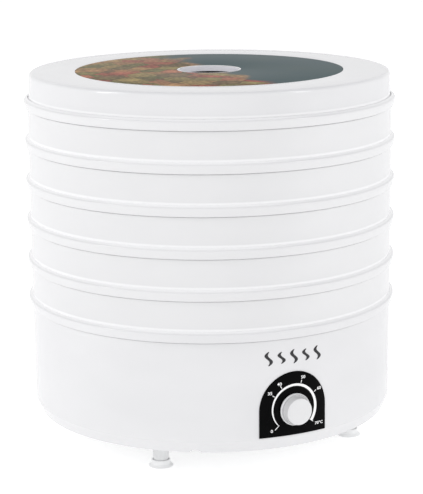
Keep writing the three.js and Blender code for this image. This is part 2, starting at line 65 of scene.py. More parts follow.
BAND_RADIUS = base_high.x                    # outside of the band round each rim
WALL_RADIUS = lid_high.x                     # outside of the walls
WALL = 2.2
BASE_WALL = 3.0
BAND_HEIGHT = 8.4
LEDGE_RADIUS = WALL_RADIUS + 1.7
SOCKET_RADIUS = WALL_RADIUS + 0.04
GROOVE = 0.9                    # the shadow line under each band
SEAM_LIFT = 1.2                 # middle of the strip of painted light, above the seam
SKIRT = 6.0
SHOULDER = SKIRT + 0.3
TRAY_FLOOR_DROP = 4.0
TRAY_FLOOR = 2.4
LID_FOOT_RADIUS = WALL_RADIUS - 0.9
LID_RADIUS = WALL_RADIUS - 1.8
LIP_RADIUS = WALL_RADIUS - 5.0
LIP_HEIGHT = 9.8
VENT_RADIUS = 27.0
VENT_COLLAR = 5.4
DECK_TOP = 110.0
DECK = 2.4
OUTLET_RADIUS = 63.6
COLLAR_TOP = 117.0
FOOT_RADIUS = 129.0
FOOT_ANGLES = (-45, 45, 135, 225)
BOSS_RADIUS = 135.0
BOSS_ANGLES = (22.5, 112.5, 202.5, 292.5)
NOTCH_ANGLES = (-30.4, 59.6, 149.6, 239.6)
KNOB_Z = (knob_low.z + knob_high.z) / 2
SPINDLE_BORE = 3.3
NECK_HOLE = 5.3                 # in the dial plate, for the thermostat's neck
WALL_NECK_HOLE = 5.6            # in the wall behind it
GLAND_HOLE = 6.4
THROUGH_WALL = (140, 175)       # from inside the wall to outside it, along a cutter's axis
SCREW_BORE = 1.75
KNOB_SOCKET = 6.6               # depth of the knob's socket for the spindle
GLAND_Z = (gland_low.z + gland_high.z) / 2
DIAL_Z = KNOB_Z + 0.3
DIAL_RADIUS = 19.4
DIAL_SWEEP = frame["joints"][0]["range_deg"][1]


# ---------------------------------------------------------------- material tools

def new_material(name, color, roughness, metallic=0.0):
    """A material and its Principled shader."""
    material = bpy.data.materials.new(name)
    material.use_nodes = True
    shader = shader_of(material)
    shader.inputs["Base Color"].default_value = (*color, 1)
    shader.inputs["Roughness"].default_value = roughness
    shader.inputs["Metallic"].default_value = metallic
    return material, shader


def shader_of(material):
    return material.node_tree.nodes["Principled BSDF"]


def node(material, kind, **settings):
    made = material.node_tree.nodes.new(kind)
    for key, value in settings.items():
        setattr(made, key, value)
    return made


def link(material, source, target):
    material.node_tree.links.new(source, target)


def object_point(material, scale):
    """Object coordinates in metres, stretched by scale."""
    place = node(material, "ShaderNodeTexCoord")
    mapping = node(material, "ShaderNodeMapping")
    mapping.inputs["Scale"].default_value = scale
    link(material, place.outputs["Object"], mapping.inputs["Vector"])
    return mapping.outputs["Vector"]


def noise(material, scale, detail=3.0, stretch=(1, 1, 1)):
    texture = node(material, "ShaderNodeTexNoise")
    texture.inputs["Scale"].default_value = scale
    texture.inputs["Detail"].default_value = detail
    link(material, object_point(material, stretch), texture.inputs["Vector"])
    return texture.outputs["Fac"]


def ramp(material, factor, stops):
    made = node(material, "ShaderNodeValToRGB")
    elements = made.color_ramp.elements
    while len(elements) > 1:
        elements.remove(elements[-1])
    elements[0].position = stops[0][0]
    elements[0].color = (*stops[0][1], 1)
    for position, color in stops[1:]:
        element = elements.new(position)
        element.color = (*color, 1)
    link(material, factor, made.inputs["Fac"])
    return made.outputs["Color"]


def remap(material, factor, low, high):
    made = node(material, "ShaderNodeMapRange")
    made.inputs["To Min"].default_value = low
    made.inputs["To Max"].default_value = high
    link(material, factor, made.inputs["Value"])
    return made.outputs["Result"]


def mix(material, factor, first, second):
    """Colour first where the factor is 0, second where it is 1; each is a colour or a socket."""
    made = node(material, "ShaderNodeMix", data_type="RGBA")
    link(material, factor, made.inputs["Factor"])
    for source, target in ((first, made.inputs[6]), (second, made.inputs[7])):
        if isinstance(source, tuple):
            target.default_value = (*source, 1)
        else:
            link(material, source, target)
    return made.outputs[2]


def calculate(material, operation, first, second):
    made = node(material, "ShaderNodeMath", operation=operation)
    for source, target in ((first, made.inputs[0]), (second, made.inputs[1])):
        if isinstance(source, (int, float)):
            target.default_value = source
        else:
            link(material, source, target)
    return made.outputs[0]


def edge(material, value, low, high):
    """0 below low, 1 above high; low may be the larger one, which turns it round."""
    made = node(material, "ShaderNodeMapRange", interpolation_type="SMOOTHSTEP")
    made.inputs["From Min"].default_value = low
    made.inputs["From Max"].default_value = high
    link(material, value, made.inputs["Value"])
    return made.outputs["Result"]


def bump(material, shader, height, strength, distance):
    made = node(material, "ShaderNodeBump")
    made.inputs["Strength"].default_value = strength
    made.inputs["Distance"].default_value = distance
    link(material, height, made.inputs["Height"])
    link(material, made.outputs["Normal"], shader.inputs["Normal"])


def moulded_plastic(name, color, roughness, grain=0.06, tint=0.015):
    """Injection moulded plastic: faint flow streaks in the colour, a fine skin and a soft sheen."""
    material, shader = new_material(name, color, roughness)
    low = tuple(max(0.0, c - tint) for c in color)
    high = tuple(min(1.0, c + tint) for c in color)
    streaks = noise(material, 9.0, 2.0, (1, 1, 2.5))
    link(material, ramp(material, streaks, [(0.3, low), (0.7, high)]), shader.inputs["Base Color"])
    fine = noise(material, 900.0, 4.0)
    link(material, remap(material, fine, roughness - 0.04, roughness + 0.05), shader.inputs["Roughness"])
    bump(material, shader, noise(material, 1400.0, 3.0), grain, 0.00015)
    shader.inputs["IOR"].default_value = 1.5
    return material


def worked_metal(name, color, roughness, stretch=(1, 1, 1), streak_scale=400.0):
    """Rolled, drawn or turned metal: streaks along the working direction in colour and gloss."""
    material, shader = new_material(name, color, roughness, 1.0)
    streaks = noise(material, streak_scale, 5.0, stretch)
    low = tuple(c * 0.82 for c in color)
    link(material, ramp(material, streaks, [(0.35, low), (0.65, color)]), shader.inputs["Base Color"])
    link(material, remap(material, streaks, roughness - 0.08, roughness + 0.12), shader.inputs["Roughness"])
    bump(material, shader, streaks, 0.15, 0.0001)
    return material


def paint_light_above_seams(material, heights):
    """Paints light into the plastic just above its seams: a lighter colour in place of the light that comes
    through it.
    """
    shader = shader_of(material)
    color = shader.inputs["Base Color"].links[0].from_socket
    axes = node(material, "ShaderNodeSeparateXYZ")
    link(material, object_point(material, (1, 1, 1)), axes.inputs[0])
    for height in heights:
        above = calculate(material, "SUBTRACT", axes.outputs["Z"], (height + SEAM_LIFT) * MM)
        away = calculate(material, "ABSOLUTE", above, 0)
        # painted light: the lighter colour, full within 0.8 mm of the strip's middle and gone by 2.4 mm
        color = mix(material, edge(material, away, 0.0024, 0.0008), color, (0.87, 0.87, 0.875))
    link(material, color, shader.inputs["Base Color"])


def paint_moat_shadow(material, height, inner, outer):
    """Paints shade into the plastic: greyer between two radii from a level axis that runs front to back, a painted
    shadow in the knob's moat.
    """
    shader = shader_of(material)
    color = shader.inputs["Base Color"].links[0].from_socket
    mapping = node(material, "ShaderNodeMapping")
    mapping.inputs["Location"].default_value = (0, 0, -height)
    mapping.inputs["Scale"].default_value = (1 / MM, 0, 1 / MM)
    link(material, object_point(material, (1, 1, 1)), mapping.inputs["Vector"])
    length = node(material, "ShaderNodeVectorMath", operation="LENGTH")
    link(material, mapping.outputs["Vector"], length.inputs[0])
    reach = length.outputs["Value"]
    within = edge(material, reach, outer, outer - 0.3)
    beyond = edge(material, reach, inner, inner + 0.2)
    ring = calculate(material, "MULTIPLY", beyond, within)
    # painted shade: the grey of the moat's shadow
    link(material, mix(material, ring, color, (0.62, 0.62, 0.625)), shader.inputs["Base Color"])


# ---------------------------------------------------------------- mesh tools

def around(radius, degrees, z=0.0):
    """A point at an angle counted anticlockwise from the knob's side, seen from above."""
    angle = math.radians(degrees)
    return Vector((radius * math.sin(angle), -radius * math.cos(angle), z))


def rounded(outline, closed, steps=5):
    """The outline's points, with each corner that carries a third number rounded to that radius."""
    points = []
    for i, (r, z, *fillet) in enumerate(outline):
        here = Vector((r, z))
        if not fillet or (not closed and i in (0, len(outline) - 1)):
            points.append(here)
            continue
        to_last = Vector(outline[i - 1][:2]) - here
        to_next = Vector(outline[(i + 1) % len(outline)][:2]) - here
        half = to_last.angle(to_next) / 2
        reach = min(fillet[0] / math.tan(half), 0.48 * to_last.length, 0.48 * to_next.length)
        radius = reach * math.tan(half)
        inward = (to_last.normalized() + to_next.normalized()).normalized()
        centre = here + inward * (radius / math.sin(half))
        start = here + to_last.normalized() * reach - centre
        end = here + to_next.normalized() * reach - centre
        sweep = start.angle(end)
        for step in range(steps + 1):
            part = step / steps
            a = math.sin((1 - part) * sweep) / math.sin(sweep)
            b = math.sin(part * sweep) / math.sin(sweep)
            points.append(centre + start * a + end * b)
    return points


def lathe(bm, outline, sides=AROUND, closed=True, matrix=Matrix.Identity(4)):
    """Turns an outline of (radius, z) points, bottom first and outside first, round the Z axis."""
    rings = []
    for r, z in rounded(outline, closed):
        count = 1 if r < 1e-6 else sides
        ring = [matrix @ around(r, 360 * i / count, z) for i in range(count)]
        rings.append([bm.verts.new(co) for co in ring])
    for lower, upper in zip(rings, rings[1:] + rings[:1] if closed else rings[1:]):
        if len(lower) == len(upper) == 1:
            continue
        for i in range(sides):
            j = (i + 1) % sides
            under = [lower[k % len(lower)] for k in (i, j)]
            over = [upper[k % len(upper)] for k in (j, i)]
            corners = under + over
            bm.faces.new(list(dict.fromkeys(corners)))


def polar_plate(bm, radii, rib, spokes, spoke, step_at, low, high):
    """A flat grid: rings of width rib at the radii, and spokes between them. Only every
    step_at(radius)th spoke is there, so that the grid opens evenly towards the middle."""
    edges = [edge for r in radii for edge in (r - rib / 2, r + rib / 2)]
    around_count = 2 * spokes

    def corner(r, k, z):
        angle = 2 * math.pi * (k // 2) / spokes + (1 if k % 2 else -1) * spoke / 2 / r
        return bm.verts.new((r * math.sin(angle), -r * math.cos(angle), z))

    levels = [[[corner(r, k, z) for k in range(around_count)] for r in edges] for z in (low, high)]

    def filled(a, k):
        if not 0 <= a < len(edges) - 1:
            return False
        k %= around_count
        return a % 2 == 0 or (k % 2 == 0 and (k // 2) % step_at(edges[a]) == 0)

    def wall(a0, k0, a1, k1):
        bottom, top = levels
        bm.faces.new((bottom[a0][k0], bottom[a1][k1], top[a1][k1], top[a0][k0]))

    for a in range(len(edges) - 1):
        for k in range(around_count):
            if not filled(a, k):
                continue
            n = (k + 1) % around_count
            for level in levels:
                bm.faces.new((level[a][k], level[a + 1][k], level[a + 1][n], level[a][n]))
            if not filled(a - 1, k):
                wall(a, k, a, n)
            if not filled(a + 1, k):
                wall(a + 1, k, a + 1, n)
            if not filled(a, k - 1):
                wall(a, k, a + 1, k)
            if not filled(a, k + 1):
                wall(a, n, a + 1, n)
    loose = [v for v in bm.verts if not v.link_faces]
    bmesh.ops.delete(bm, geom=loose, context="VERTS")


def mesh_from(bm, name, sharp):
    """A mesh in metres from a bmesh in millimetres, smooth except at corners sharper than the angle."""
    bmesh.ops.recalc_face_normals(bm, faces=bm.faces)
    mesh = bpy.data.meshes.new(name)
    bm.to_mesh(mesh)
    bm.free()
    mesh.transform(Matrix.Scale(MM, 4))
    mesh.shade_smooth()
    mesh.set_sharp_from_angle(angle=math.radians(sharp))
    return mesh


def place(name, mesh, material, body, slot, replaced=(), height=0.0):
    """Puts a mesh in the scene as a piece of the object, which rides on a body."""
    obj = bpy.data.objects.new(name, mesh)
    bpy.context.scene.collection.objects.link(obj)
    if not mesh.materials:
        mesh.materials.append(material)
    obj.location.z = height * MM
    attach(obj, body)
    if replaced:
        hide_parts(*replaced)
    return obj


def carve(mesh, cutters, sharp):
    """The mesh less the cutter meshes, in one exact boolean."""
    whole = bpy.data.objects.new("whole", mesh)
    bpy.context.scene.collection.objects.link(whole)
    tools = []
    for cutter in cutters:
        tool = bpy.data.objects.new("tool", cutter)
        bpy.context.scene.collection.objects.link(tool)
        tools.append(tool)
        modifier = whole.modifiers.new("cut", "BOOLEAN")
        modifier.operation = "DIFFERENCE"
        modifier.solver = "EXACT"
        modifier.object = tool
    graph = bpy.context.evaluated_depsgraph_get()
    result = bpy.data.meshes.new_from_object(whole.evaluated_get(graph))
    for obj in [whole, *tools]:
        bpy.data.objects.remove(obj)
    result.shade_smooth()
    result.set_sharp_from_angle(angle=math.radians(sharp))
    return result


def on_wall(x, z, distance):
    """A point of the flat dial drawing, laid on the round wall at a distance from the axis."""
    angle = math.asin(x / BAND_RADIUS)
    return Vector((distance * math.sin(angle), -distance * math.cos(angle), z))


TOWARDS_FRONT = Matrix.Rotation(math.pi / 2, 4, "X")
TOWARDS_BACK = Matrix.Rotation(-math.pi / 2, 4, "X")


# ---------------------------------------------------------------- materials

white_shell = moulded_plastic("white_shell", (0.735, 0.735, 0.743), 0.18, 0.01)
white_tray = moulded_plastic("white_tray", (0.74, 0.74, 0.745), 0.22, 0.01)
white_knob = moulded_plastic("white_knob", (0.73, 0.73, 0.735), 0.25, 0.02)
black_panel = moulded_plastic("black_panel", (0.002, 0.002, 0.0022), 0.16, 0.02, 0.0005)
shader_of(black_panel).inputs["Specular IOR Level"].default_value = 0.035
# painted light just above the seams of the shell and the trays
paint_light_above_seams(white_shell, [base_high.z, lid_low.z + SKIRT])
paint_light_above_seams(white_tray, [0, tray_high.z - tray_low.z - SKIRT])
# painted shade in the knob's moat
paint_moat_shadow(white_knob, KNOB_Z, 11.1, 12.9)
inner_plastic = moulded_plastic("inner_plastic", (0.74, 0.745, 0.75), 0.42, 0.1)
black_plastic = moulded_plastic("black_plastic", (0.02, 0.02, 0.022), 0.4, 0.12, 0.005)
# a lit copy of the lid plastic: painted light for the vent collar's inner wall
lit_vent_plastic = moulded_plastic("lit_vent_plastic", (0.93, 0.92, 0.97), 0.35, 0.01)
white_print = moulded_plastic("white_print", (0.94, 0.94, 0.94), 0.4, 0.02, 0.01)
dark_print = moulded_plastic("dark_print", (0.012, 0.012, 0.014), 0.35, 0.02, 0.004)
brown_sleeve = moulded_plastic("brown_sleeve", (0.14, 0.06, 0.03), 0.4, 0.05, 0.01)
blue_sleeve = moulded_plastic("blue_sleeve", (0.04, 0.10, 0.32), 0.4, 0.05, 0.01)
soft_foot = moulded_plastic("soft_foot", (0.88, 0.885, 0.89), 0.3, 0.03)
mica_board = moulded_plastic("mica", (0.50, 0.42, 0.27), 0.55, 0.3, 0.06)
screw_steel = worked_metal("screw_steel", (0.62, 0.63, 0.65), 0.25, (1, 1, 12))
sheet_steel = worked_metal("sheet_steel", (0.52, 0.53, 0.55), 0.35, (1, 1, 20))
turned_brass = worked_metal("brass", (0.62, 0.46, 0.20), 0.3, (1, 1, 25))
copper_wire = worked_metal("copper", (0.50, 0.22, 0.09), 0.35, (1, 1, 60), 300.0)
oxidised_wire = worked_metal("heater_alloy", (0.25, 0.23, 0.22), 0.45)
core_steel = worked_metal("core_steel", (0.22, 0.23, 0.25), 0.4, (1, 1, 90), 250.0)

SLOT_MATERIALS = {
    "white_shell": white_shell,
    "white_tray": white_tray,
    "white_knob": white_knob,
    "black_panel": black_panel,
    "inner_plastic": inner_plastic,
    "soft_foot": soft_foot,
    "screw_steel": screw_steel,
    "sheet_steel": sheet_steel,
    "brass": turned_brass,
    "copper": copper_wire,
    "mica": mica_board,
    "heater_alloy": oxidised_wire,
    "core_steel": core_steel,
    "black_plastic": black_plastic,
    "brown_sleeve": brown_sleeve,
    "blue_sleeve": blue_sleeve,
}


def paint_cad_nodes():
    """Gives every CAD node the material of its slot in the record."""
    for part in frame["record"]["subparts"]:
        material = SLOT_MATERIALS.get(part["material_slot"])
        mesh = frame["nodes"][part["node"]].data
        mesh.materials.clear()
        mesh.materials.append(material or inner_plastic)


# ---------------------------------------------------------------- rims, trays and lid

def rim_outline(seam, inside):
    """The outside of a rim going up: ledge, band, socket mouth and the shoulder inside."""
    return [
        (WALL_RADIUS, seam - BAND_HEIGHT - GROOVE, 0.15),
        (WALL_RADIUS - GROOVE, seam - BAND_HEIGHT - GROOVE / 2),
        (WALL_RADIUS - GROOVE, seam - BAND_HEIGHT),
        (LEDGE_RADIUS, seam - BAND_HEIGHT, 0.3),
        (BAND_RADIUS, seam - 2.4, 1.5),
        (BAND_RADIUS, seam - 1.1, 1.1),
        (SOCKET_RADIUS, seam + 0.7),
        (SOCKET_RADIUS, seam - SHOULDER),
        (inside, seam - SHOULDER, 0.5),
    ]


def tray_mesh():
    """One tray, with its seam at height 0."""
    inside = WALL_RADIUS - WALL
    pitch = tray_high.z - tray_low.z - SKIRT
    bm = bmesh.new()
    lathe(bm, [
        (WALL_RADIUS, -SKIRT, 0.6),
        *rim_outline(pitch, inside),
        (inside, -SKIRT, 0.6),
    ])
    bottom = -TRAY_FLOOR_DROP
    top = bottom + TRAY_FLOOR
    radii = [18 + 7.5 * i for i in range(19)]
    polar_plate(bm, radii, 1.5, 72, 1.5, lambda r: 4 if r < 46 else 2 if r < 96 else 1, bottom + 0.6, top)
    lathe(bm, [(152.4, bottom), (inside + 0.8, bottom), (inside + 0.8, top - 0.1), (152.4, top - 0.1, 0.5)])
    lathe(bm, [(0, bottom), (18.2, bottom, 0.6), (18.2, top + 0.6, 0.6), (0, top + 0.6)], 64, closed=False)
    return mesh_from(bm, "tray", 40)


def make_trays():
    mesh = tray_mesh()
    for i in range(1, TRAYS + 1):
        node_low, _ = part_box(f"tray_{i}")
        seam = node_low.z / MM + SKIRT
        place(f"tray_shell_{i}", mesh, white_tray, f"tray_{i}", "white_tray", [f"tray_{i}"], seam)


def make_lid():
    top = lid_high.z
    recess = label_low.z - 0.3
    ceiling = top - WALL - 0.6
    seam = lid_low.z + SKIRT
    label_edge = label_high.x + 0.3
    hole_edge = VENT_RADIUS + 1.2
    bm = bmesh.new()
    lathe(bm, [
        (WALL_RADIUS, lid_low.z, 0.6),
        (WALL_RADIUS, seam - 0.6, 0.3),
        (LID_FOOT_RADIUS, seam + 0.4, 0.3),
        (LID_RADIUS, top, 3.2),
        (label_edge, top, 0.25),
        (label_edge, recess),
        (hole_edge, recess),
        (hole_edge, top, 0.2),
        (VENT_RADIUS, top, 0.7),
        (VENT_RADIUS, top - VENT_COLLAR, 0.6),
        (VENT_RADIUS + WALL, top - VENT_COLLAR, 0.6),
        (VENT_RADIUS + WALL, ceiling, 0.8),
        (LID_RADIUS - WALL, ceiling - 1, 1.5),
        (LID_FOOT_RADIUS - WALL, seam),
        (WALL_RADIUS - WALL, lid_low.z, 0.6),
    ])
    place("lid_shell", mesh_from(bm, "lid_shell", 40), white_shell, "lid", "white_shell", ["lid"])
    # a thin sleeve on the vent collar's inner wall, in a brighter copy of the lid plastic: painted light
    bm = bmesh.new()
    lathe(bm, [
        (VENT_RADIUS + 0.4, top - VENT_COLLAR + 0.3),
        (VENT_RADIUS + 0.4, top - 0.9),
        (VENT_RADIUS - 0.25, top - 0.9),
        (VENT_RADIUS - 0.25, top - VENT_COLLAR + 0.3),
    ])
    place("vent_lit_sleeve", mesh_from(bm, "vent_lit_sleeve", 40), lit_vent_plastic, "lid", "white_shell")


# ---------------------------------------------------------------- base

def arch_outline(margin, columns=36):
    """Points round the dial plate: along its flat bottom, then back over its arch."""
    half = (panel_high.x - panel_low.x) / 2 + margin
    bottom = panel_low.z - margin
    rise = panel_high.z - KNOB_Z + margin
    steps = [-math.cos(math.pi * i / columns) for i in range(columns + 1)]
    low = [(half * s, bottom) for s in steps]
    high = [(half * s, KNOB_Z + rise * math.sqrt(max(0.0, 1 - s * s))) for s in steps]
    return low, high


def arch_plate(bm, layers):
    """A closed solid on the round wall from layers of (margin, distance from the axis), back to front."""
    loops = []
    for margin, distance in layers:
        low, high = arch_outline(margin)
        flat = low + high[::-1]
        loops.append([bm.verts.new(on_wall(x, z, distance)) for x, z in flat])
    count = len(loops[0])
    for back, front in zip(loops, loops[1:]):
        for i in range(count):
            j = (i + 1) % count
            bm.faces.new((back[i], back[j], front[j], front[i]))
    for loop in (loops[0], loops[-1]):
        for i in range(count // 2 - 1):
            corners = (loop[i], loop[i + 1], loop[count - 2 - i], loop[count - 1 - i])
            bm.faces.new(corners)


def make_base():
    bottom = base_low.z
    seam = base_high.z
    inside = WALL_RADIUS - BASE_WALL
    deck_bottom = DECK_TOP - DECK
    crease = bottom + LIP_HEIGHT
    bm = bmesh.new()
    lathe(bm, [
        (LIP_RADIUS, bottom, 0.5),
        (WALL_RADIUS - 1.1, crease, 0.4),
        (WALL_RADIUS - 0.6, crease + 0.5, 0.3),
        *rim_outline(seam, inside),
        (inside, DECK_TOP + 2, 3.0),
        (OUTLET_RADIUS + DECK, DECK_TOP, 2.0),
        (OUTLET_RADIUS + DECK, COLLAR_TOP, 0.8),
        (OUTLET_RADIUS, COLLAR_TOP, 0.8),
        (OUTLET_RADIUS, deck_bottom, 0.4),
        (inside, deck_bottom, 1.5),
        (inside - 0.4, crease + 1),
        (LIP_RADIUS - 2.6, bottom, 0.5),
    ])
    shell = mesh_from(bm, "base_shell", 40)
    cutters = [
        pocket_cutter(),
        hole_cutter(WALL_NECK_HOLE, KNOB_Z, TOWARDS_FRONT),
        hole_cutter(GLAND_HOLE, GLAND_Z, TOWARDS_BACK),
    ]
    cutters += [notch_cutter(degrees, bottom) for degrees in NOTCH_ANGLES]
    carved = carve(shell, cutters, 40)
    place("base_shell", carved, white_shell, "base", "white_shell", ["base_housing"])
    make_bosses(deck_bottom)


def pocket_cutter():
    face = -panel_low.y
    bm = bmesh.new()
    arch_plate(bm, [(0.25, face - 1.8), (0.25, face + 6)])
    return mesh_from(bm, "pocket", 40)


def hole_cutter(radius, z, direction):
    bm = bmesh.new()
    start, end = THROUGH_WALL
    matrix = Matrix.Translation((0, 0, z)) @ direction
    lathe(bm, [(0, start), (radius, start), (radius, end), (0, end)], 40, False, matrix)
    return mesh_from(bm, "hole", 40)


def notch_cutter(degrees, bottom):
    radius = 6.0
    height = 2.5
    bm = bmesh.new()
    turn = Matrix.Rotation(math.radians(degrees), 4, "Z")
    matrix = turn @ Matrix.Translation((0, 0, bottom + height - radius)) @ TOWARDS_FRONT
    lathe(bm, [(0, 140), (radius, 140), (radius, 170), (0, 170)], 48, False, matrix)
    return mesh_from(bm, "notch", 40)


def make_bosses(deck_bottom):
    """The cover's screw bosses, which hang from the deck inside the housing."""
    bm = bmesh.new()
    for degrees in BOSS_ANGLES:
        matrix = Matrix.Translation(around(BOSS_RADIUS, degrees))
        lathe(bm, [
            (SCREW_BORE, cover_high.z + 0.3),
            (4.2, cover_high.z + 0.3, 0.3),
            (4.2, deck_bottom + 0.6),
            (SCREW_BORE, deck_bottom + 0.6),
        ], 32, True, matrix)
    place("screw_bosses", mesh_from(bm, "screw_bosses", 40), white_shell, "base", "white_shell")


def make_cover():
    """The bottom cover with its intake grid, the feet's posts and the motor's posts."""
    plate_low = base_low.z + 2.1
    plate_high = plate_low + 2.2
    bm = bmesh.new()
    radii = [18 + 8 * i for i in range(9)]
    polar_plate(bm, radii, 3.0, 36, 2.4, lambda r: 2 if r < 48 else 1, plate_low, plate_high)
    lathe(bm, [
        (81, plate_low + 0.1, 0.4),
        (151.6, plate_low + 0.1, 0.5),
        (151.6, plate_high, 0.5),
        (81, plate_high),
    ])
    lathe(bm, [
        (0, plate_low - 0.1),
        (18, plate_low - 0.1, 0.4),
        (18, plate_high + 0.1),
        (0, plate_high + 0.1),
    ], 64, False)
    for degrees in FOOT_ANGLES:
        lathe(bm, [
            (0, 3.0),
            (6.4, 3.0, 0.4),
            (7.4, plate_low - 1.2, 1.5),
            (9.2, plate_low + 0.4),
            (0, plate_low + 0.4),
        ], 48, False, Matrix.Translation(around(FOOT_RADIUS, degrees)))
    for side in (-1, 1):
        lathe(bm, [
            (1.65, plate_low + 0.6),
            (4, plate_low + 0.6),
            (4, cover_high.z, 0.3),
            (1.65, cover_high.z),
        ], 32, True, Matrix.Translation((side * 44, 0, 0)))
    mesh = mesh_from(bm, "cover_shell", 40)
    place("cover_shell", mesh, inner_plastic, "base", "inner_plastic", ["bottom_cover"])


def make_feet():
    """Soft cups pushed over the posts: a sleeve that flares into a thin round rim."""
    bm = bmesh.new()
    lathe(bm, [
        (0, 1.3),
        (7.4, 0.9, 1.0),
        (8.8, 0, 0.3),
        (10.5, 0, 0.35),
        (10.5, 0.8, 0.35),
        (8.4, 2.6, 1.6),
        (7.7, 6.2, 0.35),
        (6.9, 6.2, 0.3),
        (6.8, 2.7),
        (0, 2.7),
    ], 64, False)
    mesh = mesh_from(bm, "foot_cup", 40)
    for i, degrees in enumerate(FOOT_ANGLES, 1):
        obj = place(f"foot_cup_{i}", mesh, soft_foot, "base", "soft_foot", [f"foot_pad_{i}"])
        obj.location = around(FOOT_RADIUS, degrees) * MM


def make_grille():
    low = grille_high.z - 2
    high = grille_high.z
    bm = bmesh.new()
    radii = [10 + 5.8 * i for i in range(10)]
    polar_plate(bm, radii, 1.8, 48, 1.6, lambda r: 4 if r < 26 else 2 if r < 44 else 1, low, high)
    lathe(bm, [
        (61.8, low + 0.05),
        (67.5, low + 0.05, 0.4),
        (67.5, high - 0.1, 0.6),
        (61.8, high - 0.1),
    ], 160)
    lathe(bm, [(0, low), (10.2, low), (10.2, high + 0.6, 0.5), (0, high + 0.6)], 48, False)
    lathe(bm, [(61.3, DECK_TOP), (63.2, DECK_TOP, 0.4), (63.2, low + 0.6), (61.3, low + 0.6)], 160)
    mesh = mesh_from(bm, "grille_shell", 40)
    place("grille_shell", mesh, inner_plastic, "base", "inner_plastic", ["air_grille"])


def make_gland():
    """The strain relief: a flange on the wall and a ribbed, tapered tail."""
    start = BAND_RADIUS - 2.6
    end = gland_high.y
    outline = [
        (3.2, 152.4),
        (8.6, 152.4, 0.4),
        (8.6, 155.8),
        (6, 155.8),
        (6, start),
        (9, start, 0.3),
        (9, start + 2, 0.8),
        (7, start + 2.6),
    ]
    ribs = 4
    length = (end - start - 3.2) / ribs
    for i in range(ribs):
        radius = 6.8 - 0.5 * i
        outline += [
            (radius, start + 2.6 + length * (i + 0.1), 0.2),
            (radius - 0.1, start + 2.6 + length * (i + 0.6), 0.2),
            (radius - 1.1, start + 2.6 + length * (i + 0.65), 0.1),
            (radius - 1.1, start + 2.6 + length * (i + 1.0), 0.1),
        ]
    outline += [(4.7, end, 0.3), (3.2, end, 0.3)]
    bm = bmesh.new()
    lathe(bm, outline, 64, True, Matrix.Translation((0, 0, GLAND_Z)) @ TOWARDS_BACK)
    mesh = mesh_from(bm, "gland_shell", 40)
    place("gland_shell", mesh, inner_plastic, "base", "inner_plastic", ["cord_gland"])


# ---------------------------------------------------------------- dial and knob

def make_panel():
    face = -panel_low.y
    bm = bmesh.new()
    arch_plate(bm, [(0, face - 1.5), (0, face - 0.35), (-0.12, face - 0.1), (-0.4, face)])
    plate = mesh_from(bm, "dial_plate", 30)
    mesh = carve(plate, [hole_cutter(NECK_HOLE, KNOB_Z, TOWARDS_FRONT)], 30)
    place("dial_plate", mesh, black_panel, "base", "black_panel", ["control_panel"])


def print_strip(bm, edges, distance, ink=0.06):
    """A thin printed strip on the wall, between pairs of (x, z) points."""
    back, front = (
        [[bm.verts.new(on_wall(x, z, distance + lift)) for x, z in pair] for pair in edges]
        for lift in (0, ink)
    )
    for i in range(len(edges) - 1):
        bm.faces.new((front[i][0], front[i + 1][0], front[i + 1][1], front[i][1]))
        bm.faces.new((back[i][0], back[i + 1][0], back[i + 1][1], back[i][1]))
        for side in (0, 1):
            bm.faces.new((back[i][side], back[i + 1][side], front[i + 1][side], front[i][side]))
    for i in (0, -1):
        bm.faces.new((back[i][0], back[i][1], front[i][1], front[i][0]))


def on_dial(radius, degrees):
    angle = math.radians(degrees)
    return radius * math.cos(angle), DIAL_Z + radius * math.sin(angle)


DIAL_START = 221.5
# Each mark: its number, the angle, inner and outer radius of its tick, and the number's
# angle and radius.
DIAL_MARKS = [
    ("0", 223, 19.2, 24.4, 220, 27.0),
    ("35", 146.6, 21.6, 24.0, 145.4, 27.0),
    ("40", 122, 21.8, 24.4, 121.4, 26.4),
    ("50", 73.5, 22.2, 24.8, 72, 27.4),
    ("60", 31, 22.4, 25.0, 29.7, 28.2),
    ("70°C", DIAL_START - DIAL_SWEEP - 0.8, 18.7, 23.0, -33.3, 29.2),
]


def dial_arc(bm, distance):
    """The scale's arc, a hairline at the cool end that thickens clockwise."""
    edges = []
    steps = 96
    for i in range(steps + 1):
        part = i / steps
        width = 0.4 + 2.2 * part ** 0.5
        degrees = DIAL_START - DIAL_SWEEP * part
        edges.append((on_dial(DIAL_RADIUS, degrees), on_dial(DIAL_RADIUS + width, degrees)))
    print_strip(bm, edges, distance)


def dial_tick(bm, degrees, inner, outer, width, distance):
    spread = math.degrees(width / 2 / DIAL_RADIUS)
    edges = [(on_dial(r, degrees - spread), on_dial(r, degrees + spread)) for r in (inner, outer)]
    print_strip(bm, edges, distance)


def numeral_mesh(text, x, z, height, distance):
    """A printed number, laid on the wall with its middle at (x, z)."""
    curve = bpy.data.curves.new("numeral", "FONT")
    curve.body = text
    curve.extrude = 0.5
    curve.offset = 0.018
    curve.resolution_u = 3
    holder = bpy.data.objects.new("numeral", curve)
    bpy.context.scene.collection.objects.link(holder)
    graph = bpy.context.evaluated_depsgraph_get()
    mesh = bpy.data.meshes.new_from_object(holder.evaluated_get(graph))
    bpy.data.objects.remove(holder)
    xs = [v.co.x for v in mesh.vertices]
    ys = [v.co.y for v in mesh.vertices]
    scale = height / (max(ys) - min(ys))
    middle_x = (max(xs) + min(xs)) / 2
    middle_y = (max(ys) + min(ys)) / 2
    for v in mesh.vertices:
        flat_x = x + (v.co.x - middle_x) * scale * 1.15
        flat_z = z + (v.co.y - middle_y) * scale
        v.co = on_wall(flat_x, flat_z, distance + (0.06 if v.co.z > 0 else 0.0))
    return mesh


